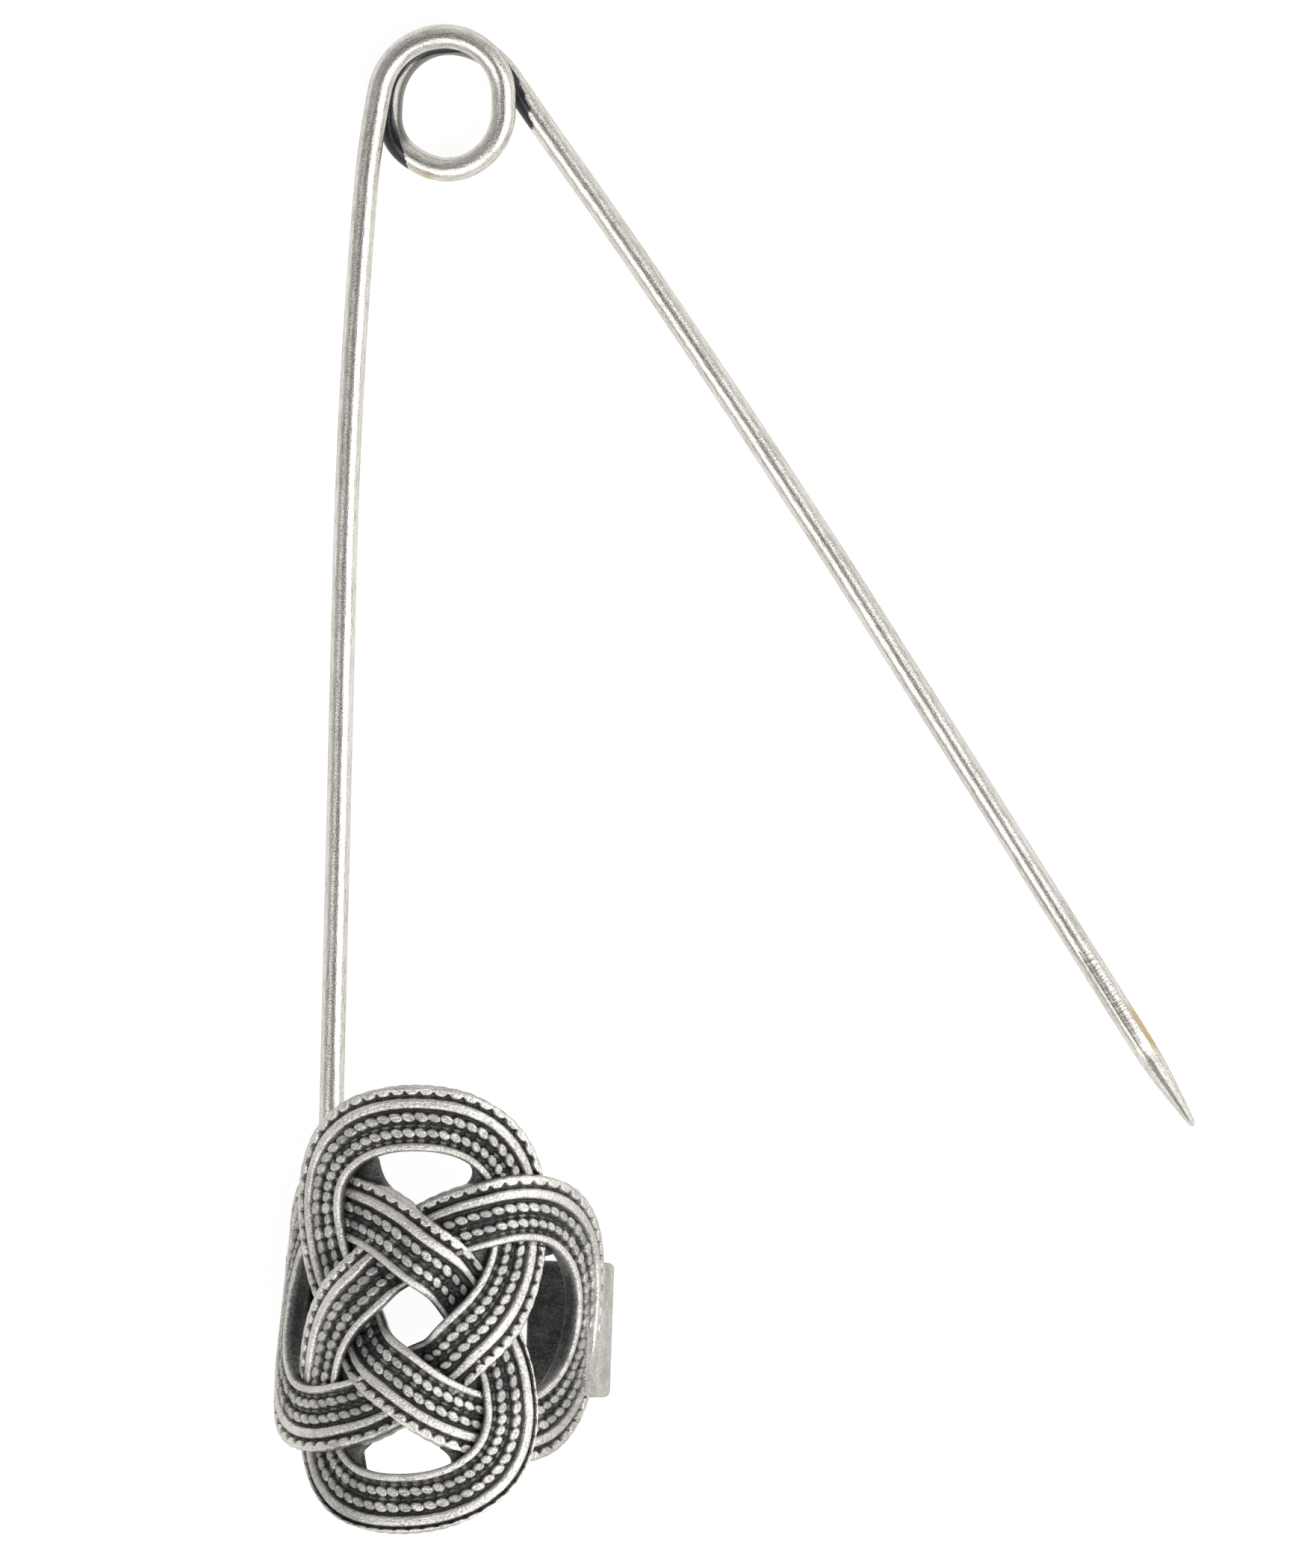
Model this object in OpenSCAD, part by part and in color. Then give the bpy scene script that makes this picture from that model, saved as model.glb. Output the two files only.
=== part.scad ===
// Kilt pin: one bent spring wire with a coil, and a cast knotwork clasp with two hooks at its back.
// The pin lies on its back: +Z is up, +X to the right, +Y towards the coil's end.
// The origin is the centre of the coil's eye, on the plane that the pin lies on.

/* [Wire] */
// Diameter of the wire
wire_d = 1.6; // [1.4:0.05:1.8]
// Clear space between the coil's front turn and its back turn
turn_gap = 0.1; // [0.05:0.05:0.3]
// Radius of the wire's centre line at the bottom and the left of the coil
coil_r = 3.76; // [3.4:0.02:4.2]
// Radius where the fixed leg runs into the coil's top
coil_entry_r = 4.38; // [4:0.02:4.8]
// Radius at the coil's right shoulder
coil_shoulder_r = 3.91; // [3.5:0.02:4.3]
// Radius where the coil runs out into the pin arm
coil_exit_r = 5.18; // [4.6:0.02:5.8]
// Straight piece on the coil's right side
coil_right_run = 0.99; // [0.5:0.01:1.6]
// Straight piece on the coil's left side
coil_left_run = 0.74; // [0.3:0.01:1.4]

/* [Fixed leg] */
// Lean of the fixed leg from straight down
leg_lean = 1.4; // [0.5:0.1:2.5]
// Lean of the fixed leg just below the coil's shoulder
leg_upper_lean = 4.8; // [3:0.1:6]
// Lean of the fixed leg where it runs into the coil
leg_coil_lean = 11; // [8:0.5:14]
// Length of the bend just below the coil
leg_upper_run = 7; // [5:0.1:9]
// Length of the long soft bend further down
leg_lower_run = 25.7; // [20:0.1:32]
// Straight length of the fixed leg down into the clasp
leg_run = 51.9; // [46:0.1:53.5]

/* [Pin arm] */
// Angle of the open arm from straight down
arm_open = 33.9; // [20:0.1:40]
// How much the arm bends back towards the leg on its way to the point
arm_bow = 1.5; // [0.5:0.1:3]
// Straight length of the arm from the coil to the bow
arm_first_run = 22.5; // [15:0.1:30]
// Length of the bow
arm_bow_run = 21.3; // [10:0.1:30]
// Straight length from the bow to where the point's taper starts
arm_last_run = 32.4; // [25:0.1:36]
// Length of the ground point
point_l = 6.4; // [4:0.1:10]
// Diameter of the blunt end of the point
point_end_d = 0.3; // [0.1:0.02:0.6]

/* [Knot] */
// Distance from the knot's centre to the band's middle at the top and bottom loops
bight_r = 12.9; // [12.2:0.05:13.6]
// How far round the clasp the band's middle reaches at the two side loops
side_reach = 14.3; // [13.2:0.05:14.6]
// Distance from the knot's centre to the four outer crossings
outer_cross_r = 9.6; // [9.3:0.02:10]
// Distance from the knot's centre to the four inner crossings
inner_cross_r = 4.86; // [4.5:0.02:5.2]
// Distance from the knot's centre to the band's middle between two inner crossings
inner_bight_r = 3.89; // [3.6:0.01:4.2]
// How much fuller each loop is than the plain wave, as a share of its width
loop_full = 0.1; // [0:0.01:0.15]
// How far the top loop leans to the right, and the bottom loop to the left
loop_lean = 0.45; // [0:0.05:0.8]
// Width of the cast band
band_w = 4.3; // [3.9:0.05:4.6]
// Depth of the grooves beside the ridges
groove_d = 0.45; // [0.3:0.05:0.6]
// How far the band rises over and dips under at its crossings
weave = 0.43; // [0.35:0.01:0.55]
// How far an upper band sinks into the grooves of the band below it
band_lap = 0.05; // [0.03:0.01:0.1]
// Radius of the clasp's rounded front
front_r = 10.74; // [10.2:0.02:11.3]

/* [Hooks] */
// Height of each hook's strap along the clasp
hook_h = 8.9; // [7:0.1:10.5]
// Thickness of the strap
hook_t = 1; // [0.8:0.05:1.2]
// Depth of the hooks behind the clasp's axis
hook_depth = 5.2; // [4.8:0.05:5.8]
// How far each hook is turned in behind the clasp
hook_turn = 5.9; // [5:0.05:6.4]
// Outer radius of the hook's corner
hook_corner_r = 1.3; // [1.25:0.05:1.6]
// How far the hooks' sides lie inside the clasp's rounded surface
hook_inset = 0.15; // [0.05:0.05:0.3]
// Chamfer of the strap's long edges
hook_edge = 0.3; // [0.2:0.05:0.4]
// How far the hooks sit below the knot's centre
hook_drop = 0.75; // [0:0.05:1.5]

/* [Seat] */
// Clear space between the fixed leg and the inside of its hook
seat_gap = 0.15; // [0.1:0.05:0.3]
// Turn of the clasp about its own long axis, as it lies
clasp_roll = 12; // [8:0.5:14]
// Slant of the clasp in the picture plane, clockwise
clasp_slant = 2; // [0:0.5:4]
// Distance of the knot's centre below the coil's centre
clasp_down = 80.3; // [77:0.1:81]

/* [Hidden] */
$fn = 64;

wire_r = wire_d / 2;
back_z = wire_r;
front_z = back_z + wire_d + turn_gap;

// The half turn at the coil's bottom is tilted about the wire's own heading, so that it drops
// from the front turn to the back turn without a kink.
drop_tilt = asin((front_z - back_z) / (2 * coil_r));

// The coil's top, between the bend that the fixed leg runs into and the right shoulder. The coil's
// eye is centred on the origin.
coil_top_x = coil_r * cos(drop_tilt) - coil_shoulder_r;
coil_top_y = (coil_shoulder_r + coil_right_run + coil_r) / 2;
coil_entry_x = coil_top_x - coil_entry_r * cos(leg_coil_lean);
coil_entry_y = coil_top_y - coil_entry_r * (1 - sin(leg_coil_lean));

// Bends of the wire from the coil's top to the point, in its order. Columns: straight run, radius
// of the bend to the right that follows it, angle of that bend, tilt of that bend about the
// wire's heading.
RUN = 0;
RADIUS = 1;
TURN = 2;
TILT = 3;
coil_steps = [
    [0, coil_shoulder_r, 90, 0],
    [coil_right_run, coil_r, 180, drop_tilt],
    [coil_left_run, coil_r, 90, 0],
    [0, coil_exit_r, 90 - arm_open, 0],
];

// The arm's bow is a few small elbows with straight runs between them.
bow_elbows = 2;
bow_elbow_r = 14;
bow_elbow = arm_bow / bow_elbows;
bow_run = arm_bow_run / bow_elbows - bow_elbow_r * bow_elbow * PI / 180;
arm_steps = concat(
    [[arm_first_run + bow_run / 2, bow_elbow_r, bow_elbow, 0]],
    [for (i = [1 : 1 : bow_elbows - 1]) [bow_run, bow_elbow_r, bow_elbow, 0]],
    [[bow_run / 2 + arm_last_run, 0, 0, 0]]
);

// The fixed leg's end lies in the corner of the left hook, the same gap from its side and from its
// turned-in end, and the hook's rounded corner lies on the plane below.
seat_in = hook_t + seat_gap + wire_r;
seat_x = -(front_r - hook_inset - seat_in);
seat_z = -(hook_depth - seat_in);
leg_end_z = hook_corner_r + (seat_in - hook_corner_r) * (sin(clasp_roll) + cos(clasp_roll));

// The fixed leg's lean, its middle line from the coil down, and its small dip to that height.
leg_dip = atan((front_z - leg_end_z) / (clasp_down + coil_entry_y - leg_upper_run / 2));
leg_runs = [leg_upper_run, leg_lower_run, leg_run];
leg_leans = [leg_coil_lean, leg_upper_lean, leg_lean, leg_lean];

function leg_lean_at(i, s) = leg_leans[i] + (leg_leans[i + 1] - leg_leans[i]) * s / leg_runs[i];

// Middle of the leg, a length s into its run i: each run is a soft bend from one lean to the next.
function leg_point(i, s) =
    let (
        from = i == 0 ? [coil_entry_x, coil_entry_y, front_z] : leg_point(i - 1, leg_runs[i - 1]),
        mid = (leg_leans[i] + leg_lean_at(i, s)) / 2,
        fall = i == 0 ? s * s / (2 * leg_upper_run) : s
    )
    from - [s * sin(mid), s * cos(mid), fall * tan(leg_dip)];

// Where the fixed leg passes the knot's centre.
leg_soft_end = leg_point(1, leg_lower_run);
leg_x = leg_soft_end[0] - (clasp_down + leg_soft_end[1]) * tan(leg_lean);

// The clasp's axis, so that the leg's place inside the hook is where the leg passes.
clasp_x = leg_x - seat_x * cos(clasp_roll) + seat_z * sin(clasp_roll);
clasp_z = leg_end_z - seat_x * sin(clasp_roll) - seat_z * cos(clasp_roll);

// The band's distance from the knot's centre is a sum of three waves through the four named
// distances. One wave is a quarter of the knot's loops: three rounds make one closed strand.
wave_0 = ((bight_r + inner_bight_r) / 2 + outer_cross_r + inner_cross_r) / 3;
wave_2 = (bight_r + inner_bight_r) / 2 - wave_0;
wave_3 = ((bight_r - inner_bight_r) / 2 - (outer_cross_r - inner_cross_r)) / 3;
wave_1 = (bight_r - inner_bight_r) / 2 - wave_3;
stretch_from = 0.385 * bight_r;
stretch = (side_reach - bight_r) / pow(bight_r - stretch_from, 2);

// The upper band's flat back reaches just below the grooves of the band that it crosses.
band_t = 2 * weave + groove_d + band_lap;

// The band's section, from its outer edge to its inner edge. Columns: place across, as a share of
// the half width, and depth below the ridge's top, as a share of the groove's depth.
section_shares = [
    [-1.00, 1.40],
    [-0.95, 0.62],
    [-0.80, 0.55],
    [-0.69, 1.00],
    [-0.62, 0.55],
    [-0.54, 0.06],
    [-0.38, 0.06],
    [-0.29, 0.55],
    [-0.22, 1.00],
    [-0.14, 0.55],
    [-0.01, 0.32],
    [0.12, 0.60],
    [0.17, 1.00],
    [0.22, 0.60],
    [0.34, 0.32],
    [0.46, 0.60],
    [0.54, 1.00],
    [0.63, 0.30],
    [0.76, 0.12],
    [0.92, 0.40],
    [1.00, 1.40],
];

// The strand is made in eight stretches, which start and end under a crossing. Each runs one ring
// into the next one.
rings = 18;
stretches = 8;
first_phase = 120;

// Radius along the band, at a phase of 360 degrees from one outer loop to the next.
function strand_r(p) = wave_0 + wave_1 * cos(p) + wave_2 * cos(2 * p) + wave_3 * cos(3 * p);

// Side loops reach further round the clasp than the top and bottom loops reach up and down.
function reach(u) = u + sign(u) * stretch * pow(max(0, abs(u) - stretch_from), 2);

// How much wider a loop is at a place along it.
function full(d) = 1 + loop_full * max(0, abs(d) - stretch_from) / (bight_r - stretch_from);

// Middle of the band, laid flat: around the clasp and along it.
function strand(p) =
    let (a = 90 + 0.75 * p, x = strand_r(p) * cos(a), y = strand_r(p) * sin(a))
    [reach(x) * full(y) + loop_lean * pow(y / bight_r, 3), y * full(x)];

// Direction across the band, away from the knot's centre.
function across(p) =
    let (d = strand(p + 0.5) - strand(p - 0.5))
    [d[1], -d[0]] / norm(d);

// A flat place on the clasp's front, h above its rounded surface, wrapped into space.
function wrap(u, v, h) =
    let (a = u / front_r * 180 / PI)
    [(front_r + h) * sin(a), v, (front_r + h) * cos(a)];

// One ring of the band: its section's top, then the two corners of its flat back.
function band_ring(p) =
    let (
        m = strand(p),
        n = across(p),
        rise = weave * sin(2 * p),
        half = band_w / 2,
        top = [for (s = section_shares) [-s[0] * half, rise - s[1] * groove_d]],
        back = [[-0.94 * half, rise - band_t], [0.94 * half, rise - band_t]]
    )
    [for (q = concat(top, back)) wrap(m[0] + q[0] * n[0], m[1] + q[0] * n[1], q[1])];

// Triangles that close a tube of equal rings, with flat ends.
function tube_faces(count, sides) =
    let (last = (count - 1) * sides)
    concat(
        [for (i = [0 : count - 2], j = [0 : sides - 1])
            let (a = i * sides + j, b = i * sides + (j + 1) % sides)
            each [[a, b, a + sides], [b, b + sides, a + sides]]],
        [[for (j = [sides - 1 : -1 : 0]) j]],
        [[for (j = [0 : sides - 1]) last + j]]
    );

module band_stretch(k) {
    start = first_phase + 180 * k;
    sides = len(section_shares) + 2;
    points = [for (i = [0 : rings + 1]) each band_ring(start + 180 * i / rings)];
    polyhedron(points, tube_faces(rings + 2, sides), convexity = 8);
}

// The small three-cornered spaces between the crossings are closed with metal at the band's back.
web_r = (outer_cross_r + 2 * inner_cross_r * cos(45)) / 3;
web_pad_r = 0.3 * band_w;
web_t = 0.5 * band_t;

module web(a) {
    rotate([0, web_r * cos(a) / front_r * 180 / PI, 0])
        translate([0, web_r * sin(a), front_r - band_t - weave / 3])
            cylinder(r = web_pad_r, h = web_t, $fn = 16);
}

// A hook's middle line, from inside the side loop's band to its turned-in end.
// Columns: place from the axis, depth, heading.
hook_side_x = front_r - hook_inset;
hook_mid_r = hook_corner_r - hook_t / 2;
hook_mid_x = hook_side_x - hook_t / 2;
hook_mid_z = -(hook_depth - hook_t / 2);
hook_root_z = 0.22 * front_r;
hook_root_in = 0.3 * hook_t;
hook_bend_steps = 6;
hook_line = concat(
    [[hook_mid_x - hook_root_in, hook_root_z, 0], [hook_mid_x, hook_root_in, 0]],
    [for (i = [0 : hook_bend_steps])
        let (a = 90 * i / hook_bend_steps)
        [
            hook_mid_x - hook_mid_r + hook_mid_r * cos(a),
            hook_mid_z + hook_mid_r - hook_mid_r * sin(a),
            a
        ]],
    [[hook_side_x - hook_turn, hook_mid_z, 90]]
);

// Outline across the strap, with chamfered edges. The turned-in end is a little shorter.
module strap_outline(shorter) {
    x = hook_t / 2;
    y = hook_h / 2 - shorter;
    e = hook_edge;
    polygon([
        [-x, e - y], [e - x, -y], [x - e, -y], [x, e - y],
        [x, y - e], [x - e, y], [e - x, y], [-x, y - e],
    ]);
}

// Thin slab across the strap at one place of the hook's middle line.
module strap_slab(at, shorter) {
    translate([at[0], 0, at[1]])
        rotate([0, at[2], 0])
            linear_extrude(0.02, center = true)
                strap_outline(shorter);
}

module hook() {
    last = len(hook_line) - 2;
    for (i = [0 : last])
        hull() {
            strap_slab(hook_line[i], 0);
            strap_slab(hook_line[i + 1], i == last ? hook_edge : 0);
        }
}

module knot_clasp() {
    color("silver")
        translate([clasp_x, -clasp_down, clasp_z])
            rotate([0, 0, -clasp_slant])
                rotate([0, -clasp_roll, 0])
                    union() {
                        for (k = [0 : stretches - 1])
                            band_stretch(k);
                        for (a = [45 : 90 : 315])
                            web(a);
                        translate([0, -hook_drop, 0]) {
                            hook();
                            mirror([1, 0, 0]) hook();
                        }
                    }
}

// One step of the wire along +Y: a straight run, then a bend to the right.
module wire_step(s) {
    if (s[RUN] > 0)
        rotate([-90, 0, 0]) cylinder(r = wire_r, h = s[RUN]);
    if (s[TURN] > 0)
        translate([0, s[RUN], 0])
            rotate([0, s[TILT], 0])
                translate([s[RADIUS], 0, 0])
                    mirror([1, 0, 0])
                        rotate_extrude(angle = s[TURN])
                            translate([s[RADIUS], 0]) circle(r = wire_r);
}

// A tilted half turn ends heading back, so its tilt is taken off the other way round.
function untilt(s) = s[TURN] == 180 ? s[TILT] : -s[TILT];

// Moves what follows to the end of a step.
module past_step(s) {
    translate([0, s[RUN], 0])
        rotate([0, s[TILT], 0])
            translate([s[RADIUS] * (1 - cos(s[TURN])), s[RADIUS] * sin(s[TURN]), 0])
                rotate([0, 0, -s[TURN]])
                    rotate([0, untilt(s), 0])
                        children();
}

module wire(steps, i = 0) {
    if (i < len(steps)) {
        wire_step(steps[i]);
        past_step(steps[i]) wire(steps, i + 1) children();
    } else {
        children();
    }
}

module past(steps, i = 0) {
    if (i < len(steps))
        past_step(steps[i]) past(steps, i + 1) children();
    else
        children();
}

// The coil's top, facing along the wire.
module at_coil_top() {
    translate([coil_top_x, coil_top_y, front_z])
        rotate([0, 0, -90])
            children();
}

leg_sides = 16;
leg_rings = concat(
    [for (i = [0 : 5]) [0, leg_upper_run * i / 5]],
    [for (i = [1 : 8]) [1, leg_lower_run * i / 8]],
    [[2, leg_run]]
);

// One ring of the fixed leg, square to its middle line.
function leg_ring(i, s) =
    let (m = leg_point(i, s), lean = leg_lean_at(i, s))
    [for (j = [0 : leg_sides - 1])
        let (a = -360 * j / leg_sides, x = wire_r * cos(a))
        m + [x * cos(lean), -x * sin(lean), wire_r * sin(a)]];

module fixed_leg() {
    color("lightsteelblue")
        polyhedron(
            [for (q = leg_rings) each leg_ring(q[0], q[1])],
            tube_faces(len(leg_rings), leg_sides)
        );
}

module spring_coil() {
    color("steelblue")
        at_coil_top() {
            translate([coil_entry_r, 0, 0])
                rotate_extrude(start = 180, angle = 90 - leg_coil_lean)
                    translate([coil_entry_r, 0]) circle(r = wire_r);
            wire(coil_steps);
        }
}

module pin_arm() {
    color("slategray")
        at_coil_top()
            past(coil_steps)
                wire(arm_steps)
                    rotate([-90, 0, 0]) point();
}

module point() {
    cylinder(r1 = wire_r, r2 = point_end_d / 2, h = point_l - point_end_d / 2);
    translate([0, 0, point_l - point_end_d / 2]) sphere(r = point_end_d / 2);
}

knot_clasp();
fixed_leg();
spring_coil();
pin_arm();
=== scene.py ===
"""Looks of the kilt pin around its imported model: the wire, the clasp, the light and the camera."""
import math

import bpy
import numpy as np
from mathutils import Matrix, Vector


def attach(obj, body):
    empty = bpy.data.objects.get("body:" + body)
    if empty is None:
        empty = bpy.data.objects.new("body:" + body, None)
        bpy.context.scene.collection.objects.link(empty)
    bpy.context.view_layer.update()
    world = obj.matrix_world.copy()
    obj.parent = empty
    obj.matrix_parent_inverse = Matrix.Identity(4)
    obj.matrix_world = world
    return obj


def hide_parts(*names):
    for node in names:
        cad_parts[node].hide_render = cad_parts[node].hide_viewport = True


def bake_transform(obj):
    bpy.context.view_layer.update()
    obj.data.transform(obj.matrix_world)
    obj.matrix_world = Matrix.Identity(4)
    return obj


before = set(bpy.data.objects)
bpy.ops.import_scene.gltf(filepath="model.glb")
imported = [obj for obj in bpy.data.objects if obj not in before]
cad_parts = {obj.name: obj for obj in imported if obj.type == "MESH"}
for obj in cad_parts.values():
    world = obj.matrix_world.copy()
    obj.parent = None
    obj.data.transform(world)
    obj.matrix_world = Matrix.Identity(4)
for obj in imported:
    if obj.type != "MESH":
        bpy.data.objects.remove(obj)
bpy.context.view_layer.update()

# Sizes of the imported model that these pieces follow, in millimetres and degrees.
MM = 0.001

WIRE_R = 0.8
TURN_GAP = 0.1
COIL_R = 3.76
COIL_ENTRY_R = 4.38
COIL_SHOULDER_R = 3.91
COIL_EXIT_R = 5.18
COIL_RIGHT_RUN = 0.99
COIL_LEFT_RUN = 0.74

LEG_LEANS = (11, 4.8, 1.4, 1.4)
LEG_RUNS = (7, 25.7, 51.9)
LEG_DIP = 0.317

ARM_OPEN = 33.9
ARM_BOW = 1.5
ARM_FIRST_RUN = 22.5
ARM_BOW_RUN = 21.3
ARM_LAST_RUN = 32.4
ELBOW_R = 14
POINT_L = 6.4

BIGHT_R = 12.9
SIDE_REACH = 14.3
OUTER_CROSS_R = 9.6
INNER_CROSS_R = 4.86
INNER_BIGHT_R = 3.89
LOOP_FULL = 0.1
LOOP_LEAN = 0.45
BAND_W = 4.3
BAND_T = 1.36
GROOVE_D = 0.45
WEAVE = 0.43
FRONT_R = 10.74

HOOK_H = 8.9
HOOK_T = 1.0
HOOK_DEPTH = 5.2
HOOK_TURN = 5.9
HOOK_CORNER_R = 1.3
HOOK_INSET = 0.15
HOOK_DROP = 0.75

CLASP_AT = (-0.308, -80.3, 7.046)
CLASP_ROLL = 12
CLASP_SLANT = 2

BACK_Z = WIRE_R
FRONT_Z = BACK_Z + 2 * WIRE_R + TURN_GAP
DROP_TILT = math.degrees(math.asin((FRONT_Z - BACK_Z) / (2 * COIL_R)))
COIL_TOP_X = COIL_R * math.cos(math.radians(DROP_TILT)) - COIL_SHOULDER_R
COIL_TOP_Y = (COIL_SHOULDER_R + COIL_RIGHT_RUN + COIL_R) / 2

LEG_BODY = "clasp_and_leg"
COIL_BODY = "coil"

# The picture's frame: the photo's scale and size, and where it shows the coil's centre.
PHOTO_PX_PER_MM = 20.2
PHOTO_SIZE = (1750, 2100)
EYE_PX = (600.3, 136.0)


def smooth(a, b, x):
    """0 up to a, 1 from b on, and a soft step between them."""
    t = np.clip((x - a) / (b - a), 0, 1)
    return t * t * (3 - 2 * t)


def unit(v):
    return v / np.linalg.norm(v, axis=-1, keepdims=True)


def make_mesh(name, points, faces, attributes, material):
    """A smooth-shaded object from points in millimetres, with its attributes on the points."""
    mesh = bpy.data.meshes.new(name)
    mesh.from_pydata((np.asarray(points) * MM).tolist(), [], faces)
    for key, values in attributes.items():
        values = np.asarray(values, np.float32)
        scalar = values.ndim == 1
        layer = mesh.attributes.new(key, "FLOAT" if scalar else "FLOAT_VECTOR", "POINT")
        layer.data.foreach_set("value" if scalar else "vector", values.ravel())
    mesh.polygons.foreach_set("use_smooth", [True] * len(mesh.polygons))
    mesh.materials.append(material)
    mesh.update()
    obj = bpy.data.objects.new(name, mesh)
    bpy.context.scene.collection.objects.link(obj)
    return obj


def sharpen_ends(mesh, rings, sides):
    """Keeps the flat ends of a tube from bending the shading of its walls."""
    ends = np.zeros(len(mesh.edges) * 2, int)
    mesh.edges.foreach_get("vertices", ends)
    ring = ends.reshape(-1, 2) // sides
    at_end = (ring == 0).all(1) | (ring == rings - 1).all(1)
    layer = mesh.attributes.new("sharp_edge", "BOOLEAN", "EDGE")
    layer.data.foreach_set("value", at_end)


def tube_faces(rings, sides):
    """Quads along a tube of equal rings, and fans that close it at two centre points kept last."""
    i = np.arange(rings - 1)[:, None] * sides
    j = np.arange(sides)
    k = (j + 1) % sides
    walls = np.stack([i + j, i + k, i + sides + k, i + sides + j], -1).reshape(-1, 4).tolist()
    first, last = rings * sides, rings * sides + 1
    base = (rings - 1) * sides
    pairs = list(zip(j.tolist(), k.tolist()))
    start = [[first, b, a] for a, b in pairs]
    end = [[last, base + a, base + b] for a, b in pairs]
    return walls + start + end


def make_tube(name, rings, attributes, material):
    """A closed tube from an array of rings of points, and one array of values per attribute."""
    count, sides = rings.shape[:2]
    caps = [rings[0].mean(0), rings[-1].mean(0)]
    points = np.concatenate([rings.reshape(-1, 3), caps])
    filled = {}
    for key, values in attributes.items():
        flat = values.reshape(count * sides, -1)
        ends = np.stack([values[0].mean(0), values[-1].mean(0)]).reshape(2, -1)
        filled[key] = np.concatenate([flat, ends]).squeeze()
    obj = make_mesh(name, points, tube_faces(count, sides), filled, material)
    sharpen_ends(obj.data, count, sides)
    return obj


# Materials

# Share of the light that the metals throw back at a grazing angle.
EDGE_TINT = (0.80, 0.78, 0.76, 1)

# Tones of each surface, as (place on its ramp, colour).
WIRE_TONES = (
    (0.28, (0.46, 0.435, 0.375)),
    (0.50, (0.71, 0.68, 0.625)),
    (0.70, (0.83, 0.80, 0.755)),
)
CAST_TONES = (
    (0.02, (0.065, 0.065, 0.067)),
    (0.26, (0.165, 0.162, 0.155)),
    (0.48, (0.258, 0.252, 0.238)),
    (0.72, (0.40, 0.387, 0.362)),
    (1.00, (0.71, 0.685, 0.643)),
)
FLOOR_TONES = ((0.3, (0.165, 0.165, 0.165)), (0.7, (0.175, 0.175, 0.175)))
FLOOR_GLOW = 0.88
STAIN_DARK, STAIN_PALE = (0.50, 0.36, 0.17, 1), (0.66, 0.51, 0.29, 1)
# Dark of the scoring at the point, also used for the painted shade on its ground flat and beside the
# back turn.
SCORE_AND_SHADE_COLOUR = (0.17, 0.165, 0.15, 1)
# Colour of the painted shade where the front turn and the leg lie over the back turn and the arm.
CROSSING_SHADE_COLOUR = (0.060, 0.062, 0.070, 1)


class Nodes:
    """A material's node tree, with short calls for the nodes that it needs."""

    def __init__(self, name):
        self.material = bpy.data.materials.new(name)
        self.material.use_nodes = True
        self.tree = self.material.node_tree
        self.shader = self.tree.nodes["Principled BSDF"]

    def add(self, kind, **settings):
        node = self.tree.nodes.new(kind)
        for key, value in settings.items():
            setattr(node, key, value)
        return node

    def join(self, source, target):
        self.tree.links.new(source, target)

    def fill(self, socket, value):
        """Links an output, or sets a constant."""
        if hasattr(value, "is_linked"):
            self.join(value, socket)
        else:
            socket.default_value = value

    def attribute(self, name, output="Fac"):
        return self.add("ShaderNodeAttribute", attribute_name=name).outputs[output]

    def noise(self, vector, scale, detail=3.0, roughness=0.55):
        node = self.add("ShaderNodeTexNoise")
        self.fill(node.inputs["Vector"], vector)
        node.inputs["Scale"].default_value = scale
        node.inputs["Detail"].default_value = detail
        node.inputs["Roughness"].default_value = roughness
        return node.outputs[0]

    def math(self, operation, a, b=0.0):
        node = self.add("ShaderNodeMath", operation=operation)
        self.fill(node.inputs[0], a)
        self.fill(node.inputs[1], b)
        return node.outputs[0]

    def weighted(self, *terms):
        """The sum of (value - 0.5) * weight over the terms."""
        total = 0.0
        for value, weight in terms:
            part = self.math("MULTIPLY", self.math("SUBTRACT", value, 0.5), weight)
            total = self.math("ADD", part, total)
        return total

    def range(self, value, low, high, to_low=0.0, to_high=1.0):
        node = self.add("ShaderNodeMapRange", interpolation_type="SMOOTHSTEP")
        self.fill(node.inputs["Value"], value)
        node.inputs["From Min"].default_value = low
        node.inputs["From Max"].default_value = high
        node.inputs["To Min"].default_value = to_low
        node.inputs["To Max"].default_value = to_high
        return node.outputs["Result"]

    def ramp(self, value, stops):
        node = self.add("ShaderNodeValToRGB")
        self.fill(node.inputs[0], value)
        ramp = node.color_ramp
        while len(ramp.elements) < len(stops):
            ramp.elements.new(0.5)
        for element, (place, colour) in zip(ramp.elements, stops):
            element.position = place
            element.color = (*colour, 1)
        return node.outputs["Color"]

    def mix(self, share, a, b):
        node = self.add("ShaderNodeMix", data_type="RGBA")
        self.fill(node.inputs[0], share)
        self.fill(node.inputs[6], a)
        self.fill(node.inputs[7], b)
        return node.outputs[2]

    def scaled(self, vector, scale):
        node = self.add("ShaderNodeVectorMath", operation="MULTIPLY")
        self.fill(node.inputs[0], vector)
        node.inputs[1].default_value = scale
        return node.outputs["Vector"]

    def bump(self, height, distance, normal=None):
        """Bump from a height in shares of a distance in millimetres."""
        node = self.add("ShaderNodeBump")
        self.fill(node.inputs["Height"], height)
        node.inputs["Strength"].default_value = 1.0
        node.inputs["Distance"].default_value = distance * MM
        if normal is not None:
            self.fill(node.inputs["Normal"], normal)
        return node.outputs["Normal"]

    def finish(self, colour, roughness, normal):
        self.join(colour, self.shader.inputs["Base Color"])
        self.join(roughness, self.shader.inputs["Roughness"])
        self.join(normal, self.shader.inputs["Normal"])
        self.shader.inputs["Metallic"].default_value = 1.0
        self.shader.inputs["Specular Tint"].default_value = EDGE_TINT
        return self.material


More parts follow.
